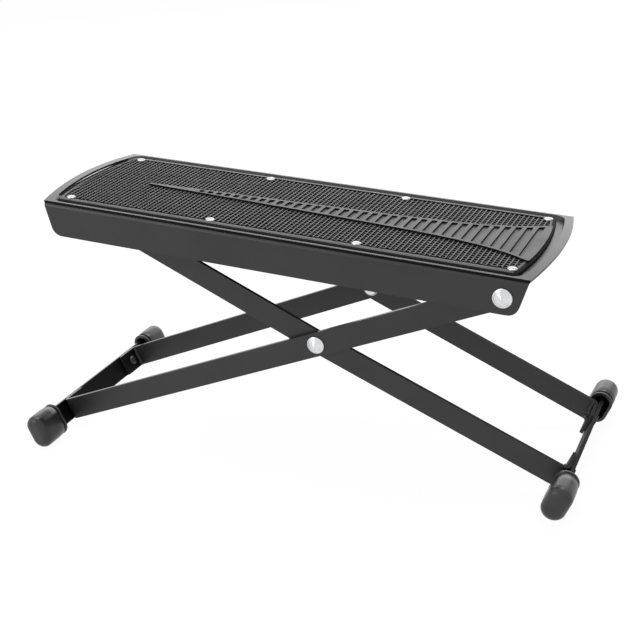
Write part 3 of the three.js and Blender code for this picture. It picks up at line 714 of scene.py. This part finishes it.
def tread_ribs():
    """Ribs across the field, and short bridges between them that are staggered and leave pits."""
    s = sizes()
    surface, foot = s.tread_surface / MM, s.field_floor / MM - SUNK
    side = (s.field_half - s.field_moat) / MM
    tip, pitch, bridge_pitch = s.wedge_tip / MM, s.rib_pitch / MM, s.bridge_pitch / MM
    half, half_bridge = s.rib_width / MM / 2, s.bridge_width / MM / 2
    bridge_top = surface - s.bridge_drop / MM
    bridge_reach = pitch / 2 - half + SUNK
    count = int((END_CENTRE + field_radius() - half) / pitch)
    bridge_count = int(side / bridge_pitch) + 1
    bm = bmesh.new()

    def span(x):
        """From the wedge's side, or the middle where there is none, out to the field's side."""
        at = x + TREAD_SHIFT
        inner = wedge_half_at(at) - SUNK if at > tip else 0
        return inner, min(side, half_at(abs(x) + half))

    for i in range(-count, count + 1):
        x = i * pitch
        inner, out = span(x)
        if out > inner:
            for low, high in ((-out, -inner), (inner, out)) if inner else ((-out, out),):
                block(bm, (x - half, low, foot), (x + half, high, surface))
        if i == count:
            break
        x += pitch / 2
        inner, out = span(x)
        for j in range(-bridge_count, bridge_count + 1):
            y = (j + i % 2 / 2) * bridge_pitch
            if inner < abs(y) + half_bridge < out:
                low = (x - bridge_reach, y - half_bridge, foot)
                block(bm, low, (x + bridge_reach, y + half_bridge, bridge_top))
    bmesh.ops.translate(bm, verts=bm.verts, vec=(TREAD_SHIFT, 0, 0))
    return bm


def facing(side):
    """Turns what points along +Y towards a side."""
    return Matrix.Rotation(math.pi if side < 0 else 0, 4, "Z")


def rivet(bm, radius, height, rim, tail_radius, tail_end, turned=0):
    """A rivet along +Y, spun: a low head on a thin rim and a flat tail.

    A turned head lies between a dome and a cone, and has fine rings.
    """
    steps = TURNED_STEPS if turned else PLAIN_STEPS
    points = [(0, rim + height)]
    for i in range(1, steps + 1):
        angle = i / steps * math.pi / 2
        out = radius * math.sin(angle)
        rise = math.cos(angle)
        if turned:
            rise = (rise + 1 - math.sin(angle)) / 2
        ring = turned * math.sin(2 * math.pi * out / TURN_PITCH) * (i < steps)
        points.append((out, rim + height * rise + ring))
    points += [(radius, 0), (tail_radius, 0), (tail_radius, tail_end), (0, tail_end)]
    verts = [bm.verts.new((x, y, 0)) for x, y in points]
    edges = [bm.edges.new(pair) for pair in zip(verts, verts[1:])]
    bmesh.ops.spin(
        bm,
        geom=verts + edges,
        cent=(0, 0, 0),
        axis=(0, 1, 0),
        dvec=(0, 0, 0),
        angle=2 * math.pi,
        steps=ROUND_STEPS,
        use_merge=True,
    )
    bmesh.ops.remove_doubles(bm, verts=bm.verts, dist=SPIN_MERGE)
    bmesh.ops.recalc_face_normals(bm, faces=bm.faces)


def rivet_piece(name, node_name, place, size, finish, body):
    """A rivet at a place that maps its own millimetres, head along +Y, to the model's metres."""
    bm = bmesh.new()
    rivet(bm, **size)
    bmesh.ops.transform(bm, matrix=place, verts=bm.verts)
    piece = piece_from(bm, name, [finish], body, [node_name])
    soften(piece, RIVET_EDGE)


def stadium(y, radius, straight):
    """A ring of a tall oval section, round at top and bottom and straight between."""
    points = []
    for i in range(CAP_STEPS):
        angle = 2 * math.pi * (i + 0.5) / CAP_STEPS
        lift = math.copysign(straight, math.sin(angle))
        points.append((radius * math.cos(angle), y, radius * math.sin(angle) + lift))
    return points


def foot_cap():
    """A rubber cap from its open end at y = 0: a beaded wide mouth that narrows to grip the bar."""
    s = sizes()
    length, radius = s.cap_length / MM, s.cap_half_thickness / MM
    straight = s.cap_half_height / MM - radius
    mouth, grip, grip_straight = s.cap_mouth / MM, s.cap_grip / MM, s.cap_grip_straight / MM
    bead, beaded, groove = s.cap_bead / MM, radius - BEAD_DROP, radius - s.cap_groove / MM
    end_round, slot_end = s.cap_end_round / MM, length - s.cap_wall / MM
    groove_end = 2 * bead + GROOVE_RISE
    profile = [
        (slot_end, grip, grip_straight),
        (4 * bead, grip, grip_straight),
        (3 * bead, mouth - LIP_ROUND, straight),
        (MOUTH_ROUND, mouth, straight),
        (0, mouth + LIP_ROUND, straight),
        (0, beaded - BEAD_ROUND, straight),
        (LIP_ROUND, beaded, straight),
        (bead, beaded, straight),
        (bead + LIP_ROUND, groove, straight),
        (2 * bead, groove, straight),
        (groove_end, radius - BODY_ROUND, straight),
        (BODY_START, radius, straight),
        (length - end_round - BODY_END, radius, straight),
    ]
    for i in range(1, END_STEPS + 1):
        angle = i / END_STEPS * math.pi / 2
        drawn = end_round * (1 - math.cos(angle))
        profile.append((length - end_round * (1 - math.sin(angle)), radius - drawn, straight))
    profile.append((length, radius * END_WIDTH, straight * END_HEIGHT))
    bm = bmesh.new()
    skin(bm, [stadium(*step) for step in profile])
    # Painted shade: the mouth's inside and the groove behind the bead get the near-black rubber
    for face in bm.faces:
        centre = face.calc_center_median()
        out = math.hypot(centre.x, max(abs(centre.z) - straight, 0))
        inside = out < mouth and MOUTH_ROUND < centre.y < slot_end + WITHIN
        in_groove = bead + LIP_ROUND / 2 < centre.y < groove_end - WITHIN
        face.material_index = int(inside or in_groove)
    return bm


# Operators


class FOOTREST_OT_top(bpy.types.Operator):
    """Make the pressed steel top"""

    bl_idname = "footrest.top"
    bl_label = "Pressed Top"

    def execute(self, context):
        bm = cad_copy("top_plate")
        leaning_walls(bm)
        bm.normal_update()
        flat = TOP_FRAME.inverted()
        turn = TOP_FRAME.to_3x3().normalized().transposed()
        # The small step under the deck's edge lies in its own shade, which is painted on it with
        # the black coat
        for face in bm.faces:
            at = flat @ face.calc_center_median()
            riser = abs((turn @ face.normal).y) > 1 - STEEP and RISER_FOOT < at.z < 0
            face.material_index = int(riser and abs(at.y) > BED_HALF)
        finishes = [top_coat(), painted_shade_coat()]
        piece = piece_from(bm, "pressed_top", finishes, "platform", ["top_plate"])
        soften(piece, sizes().edge / MM, 3)
        return {"FINISHED"}


class FOOTREST_OT_tread(bpy.types.Operator):
    """Make the ribbed rubber tread with its raised wedge of windows"""

    bl_idname = "footrest.tread"
    bl_label = "Rubber Tread"

    def execute(self, context):
        bm = tread_base()
        merge_into(bm, tread_wedge())
        merge_into(bm, tread_ribs())
        bm.normal_update()
        # Painted shade: pits, walls and the right end wall get the near-black rubber
        for face in bm.faces:
            low = face.calc_center_median().z < PIT_DEPTH
            end_wall = face.normal.x > END_WALL
            face.material_index = int(low or end_wall or face.normal.z < STEEP)
        bmesh.ops.transform(bm, matrix=TOP_FRAME, verts=bm.verts)
        finishes = [tread_rubber(), painted_shade_rubber()]
        piece = piece_from(bm, "ribbed_tread", finishes, "platform", ["tread_mat"])
        piece.data.set_sharp_from_angle(angle=math.radians(SMOOTH_ANGLE))
        return {"FINISHED"}


class FOOTREST_OT_tread_rivets(bpy.types.Operator):
    """Make the eight small domed rivets that hold the tread"""

    bl_idname = "footrest.tread_rivets"
    bl_label = "Tread Rivets"

    def execute(self, context):
        upright = Matrix.Rotation(math.pi / 2, 4, "X")
        for word, side in WORDS:
            for i, x in enumerate(TREAD_RIVETS, 1):
                place = (x, side * TREAD_RIVET_SIDE, 0.0)
                spot = TOP_FRAME @ Matrix.Translation(place) @ upright
                name = f"{word}_{i}"
                rivet_piece(
                    "tread_rivet_" + name,
                    "mat_rivet_" + name,
                    spot,
                    TREAD_RIVET,
                    dull_plate(),
                    "platform",
                )
        return {"FINISHED"}


class FOOTREST_OT_hinge_rivets(bpy.types.Operator):
    """Make the large domed rivets at the flange pivots and the scissor"""

    bl_idname = "footrest.hinge_rivets"
    bl_label = "Hinge Rivets"

    def execute(self, context):
        along, out, height = PIVOT_RIVET_PLACE
        for word, side in WORDS:
            rivet_piece(
                "pivot_rivet_" + word,
                "plate_pivot_rivet_" + word,
                TOP_FRAME @ Matrix.Translation((along, side * out, height)) @ facing(side),
                PIVOT_RIVET,
                bright_plate(),
                "platform",
            )
            # The outer leg's frame is turned half round, so its own sides are swapped
            place = (PIVOT_TO_SCISSOR, -side * SCISSOR_RIVET_SIDE, 0)
            rivet_piece(
                "scissor_rivet_head_" + word,
                "scissor_rivet_" + word,
                OUTER_FRAME @ Matrix.Translation(place) @ facing(-side),
                SCISSOR_RIVET,
                bright_plate(),
                "outer_leg",
            )
        return {"FINISHED"}


class FOOTREST_OT_rings(bpy.types.Operator):
    """Make the spacer rings at the flanges and the washers at the scissor"""

    bl_idname = "footrest.rings"
    bl_label = "Rings"

    def execute(self, context):
        kinds = (("plate_pivot_spacer_", "platform"), ("scissor_washer_", "outer_leg"))
        for word, _ in WORDS:
            for kind, body in kinds:
                name = kind + word
                softened_node(name, "ring_" + name, zinc_plate(), body, RING_EDGE)
        return {"FINISHED"}


class FOOTREST_OT_legs(bpy.types.Operator):
    """Make the two legs, each of two flat bars bent in at the foot"""

    bl_idname = "footrest.legs"
    bl_label = "Legs"

    def execute(self, context):
        for word, place in LEGS:
            for end, _ in WORDS:
                name = f"{word}_bent_bar_{end}"
                coated_bar(f"{word}_leg_bar_{end}", name, place, f"{word}_leg")
        return {"FINISHED"}


class FOOTREST_OT_feet(bpy.types.Operator):
    """Make the foot bars and the black rivets that hold them to the legs"""

    bl_idname = "footrest.feet"
    bl_label = "Foot Bars"

    def execute(self, context):
        for word, place in LEGS:
            coated_bar(f"{word}_foot_bar", f"{word}_straight_bar", place, f"{word}_leg")
            for end, _ in WORDS:
                softened_node(
                    f"{word}_foot_rivet_{end}",
                    f"{word}_foot_rivet_head_{end}",
                    bar_coat(),
                    f"{word}_leg",
                    RIVET_EDGE,
                )
        return {"FINISHED"}


class FOOTREST_OT_caps(bpy.types.Operator):
    """Make the four rubber foot caps"""

    bl_idname = "footrest.caps"
    bl_label = "Foot Caps"

    def execute(self, context):
        legs = (
            ("outer", OUTER_FRAME, OUTER_LENGTH, OUTER_FOOT_HALF, -1),
            ("inner", INNER_FRAME, INNER_LENGTH, INNER_FOOT_HALF, 1),
        )
        for word, frame_of_leg, foot, bar_half, own_side in legs:
            for end, world_side in WORDS:
                side = own_side * world_side
                bm = foot_cap()
                open_end = side * (bar_half + CAP_PAST - sizes().cap_length / MM)
                spot = frame_of_leg @ Matrix.Translation((foot, open_end, 0)) @ facing(side)
                bmesh.ops.transform(bm, matrix=spot, verts=bm.verts)
                # The sole is pressed flat where it meets the floor
                for vert in bm.verts:
                    vert.co.z = max(vert.co.z, 0)
                bmesh.ops.recalc_face_normals(bm, faces=bm.faces)
                piece = piece_from(
                    bm,
                    f"{word}_rubber_cap_{end}",
                    [cap_rubber(), painted_shade_rubber()],
                    f"{word}_leg",
                    [f"{word}_foot_cap_{end}"],
                )
                piece.data.set_sharp_from_angle(angle=math.radians(SMOOTH_ANGLE))
        return {"FINISHED"}


class FOOTREST_OT_racks(bpy.types.Operator):
    """Make the notched racks and the rod that works in them"""

    bl_idname = "footrest.racks"
    bl_label = "Racks and Rod"

    def execute(self, context):
        zinc = zinc_plate()
        flat = TOP_FRAME.inverted()
        for word, _ in WORDS:
            bm = cad_copy(f"rack_{word}")
            # The plain end rises, so that the folded rod clears it
            for vert in bm.verts:
                at = flat @ vert.co
                if at.x < RACK_END and at.z < RACK_FOOT:
                    vert.co = TOP_FRAME @ (at + Vector((0, 0, ROD_ROOM)))
            name, node_name = f"notched_rack_{word}", f"rack_{word}"
            soften(piece_from(bm, name, [zinc], "platform", [node_name]), RING_EDGE)
        softened_node("inner_cross_rod", "cross_rod", zinc, "inner_leg", ROD_EDGE)
        return {"FINISHED"}


def white_rays(tree):
    """One for rays from the camera, and for those off or through a surface that show the room."""
    path = node(tree, "ShaderNodeLightPath")
    total = path.outputs["Is Camera Ray"]
    adding = {"operation": "ADD", "use_clamp": True}
    for name in ("Is Glossy Ray", "Is Transmission Ray"):
        total = node(tree, "ShaderNodeMath", adding, {0: total, 1: path.outputs[name]}).outputs[0]
    return total


def soft_box(name, place, aim, size, power):
    light = bpy.data.lights.new(name, "AREA")
    light.shape = "RECTANGLE"
    light.size, light.size_y = size
    light.energy = power
    lamp = bpy.data.objects.new(name, light)
    bpy.context.scene.collection.objects.link(lamp)
    lamp.location = place
    lamp.rotation_euler = (Vector(aim) - Vector(place)).to_track_quat("-Z", "Y").to_euler()


def paper_sweep():
    """White paper, kept white to the camera and in reflections, with a faint shadow."""
    material = bpy.data.materials.new("white_paper_sweep")
    tree = empty_tree(material)
    paper = node(tree, "ShaderNodeBsdfDiffuse", {"Color": linear("#F2F2F2")})
    glow = node(tree, "ShaderNodeEmission", {"Color": grey(1.0), "Strength": PAPER_GLOW})
    part = {"operation": "MULTIPLY", 1: PAPER_SHARE}
    share = node(tree, "ShaderNodeMath", part, {0: white_rays(tree)})
    links = {0: share.outputs[0], 1: paper.outputs[0], 2: glow.outputs[0]}
    mixed = node(tree, "ShaderNodeMixShader", None, links)
    node(tree, "ShaderNodeOutputMaterial", None, {"Surface": mixed.outputs[0]})
    return material


def studio_room():
    """A plain pale room, white where the camera or a reflection sees it."""
    world = bpy.data.worlds.new("studio")
    tree = empty_tree(world)
    room = node(tree, "ShaderNodeBackground", {"Color": grey(1.0), "Strength": ROOM_LEVEL})
    white = node(tree, "ShaderNodeBackground", {"Color": grey(1.0), "Strength": 1.0})
    links = {0: white_rays(tree), 1: room.outputs[0], 2: white.outputs[0]}
    mixed = node(tree, "ShaderNodeMixShader", None, links)
    node(tree, "ShaderNodeOutputWorld", None, {"Surface": mixed.outputs[0]})
    return world


class FOOTREST_OT_stage(bpy.types.Operator):
    """Make the pale floor, the studio light and the camera"""

    bl_idname = "footrest.stage"
    bl_label = "Stage"

    def execute(self, context):
        scene = context.scene
        bm = bmesh.new()
        bmesh.ops.create_grid(bm, x_segments=1, y_segments=1, size=FLOOR_SIDE / 2)
        mesh = bpy.data.meshes.new("floor")
        bm.to_mesh(mesh)
        bm.free()
        mesh.materials.append(paper_sweep())
        floor = bpy.data.objects.new("floor", mesh)
        scene.collection.objects.link(floor)

        scene.world = studio_room()
        for light in LIGHTS:
            soft_box(*light)

        camera_data = bpy.data.cameras.new("photo_camera")
        camera_data.sensor_width = SENSOR_WIDTH
        camera_data.lens = LENS
        camera = bpy.data.objects.new("photo_camera", camera_data)
        scene.collection.objects.link(camera)
        place = Matrix.Translation(CAMERA_PLACE)
        for angle, axis in CAMERA_TURNS:
            place = place @ Matrix.Rotation(angle, 4, axis)
        camera.matrix_world = place
        scene.camera = camera
        scene.view_settings.view_transform = "Standard"
        return {"FINISHED"}


class FOOTREST_PT_panel(bpy.types.Panel):
    """Lists the footrest's pieces"""

    bl_idname = "FOOTREST_PT_panel"
    bl_label = "Guitar Footrest"
    bl_space_type = "VIEW_3D"
    bl_region_type = "UI"
    bl_category = "Footrest"

    def draw(self, context):
        for operator in OPERATORS:
            self.layout.operator(operator.bl_idname)
        for key in (*SIZE_DEFAULTS, *SHARE_DEFAULTS):
            self.layout.prop(context.scene.footrest_sizes, key)
        for key in COLOUR_DEFAULTS:
            self.layout.prop(context.scene.footrest_colours, key)


OPERATORS = (
    FOOTREST_OT_stage,
    FOOTREST_OT_top,
    FOOTREST_OT_tread,
    FOOTREST_OT_tread_rivets,
    FOOTREST_OT_hinge_rivets,
    FOOTREST_OT_rings,
    FOOTREST_OT_legs,
    FOOTREST_OT_feet,
    FOOTREST_OT_caps,
    FOOTREST_OT_racks,
)
CLASSES = (FootrestSizes, FootrestColours, *OPERATORS, FOOTREST_PT_panel)


def register():
    for made in CLASSES:
        bpy.utils.register_class(made)
    bpy.types.Scene.footrest_sizes = bpy.props.PointerProperty(type=FootrestSizes)
    bpy.types.Scene.footrest_colours = bpy.props.PointerProperty(type=FootrestColours)


def unregister():
    del bpy.types.Scene.footrest_colours
    del bpy.types.Scene.footrest_sizes
    for made in reversed(CLASSES):
        bpy.utils.unregister_class(made)


def main():
    register()
    for operator in OPERATORS:
        group, name = operator.bl_idname.split(".")
        getattr(getattr(bpy.ops, group), name)()


if __name__ == "__main__":
    main()
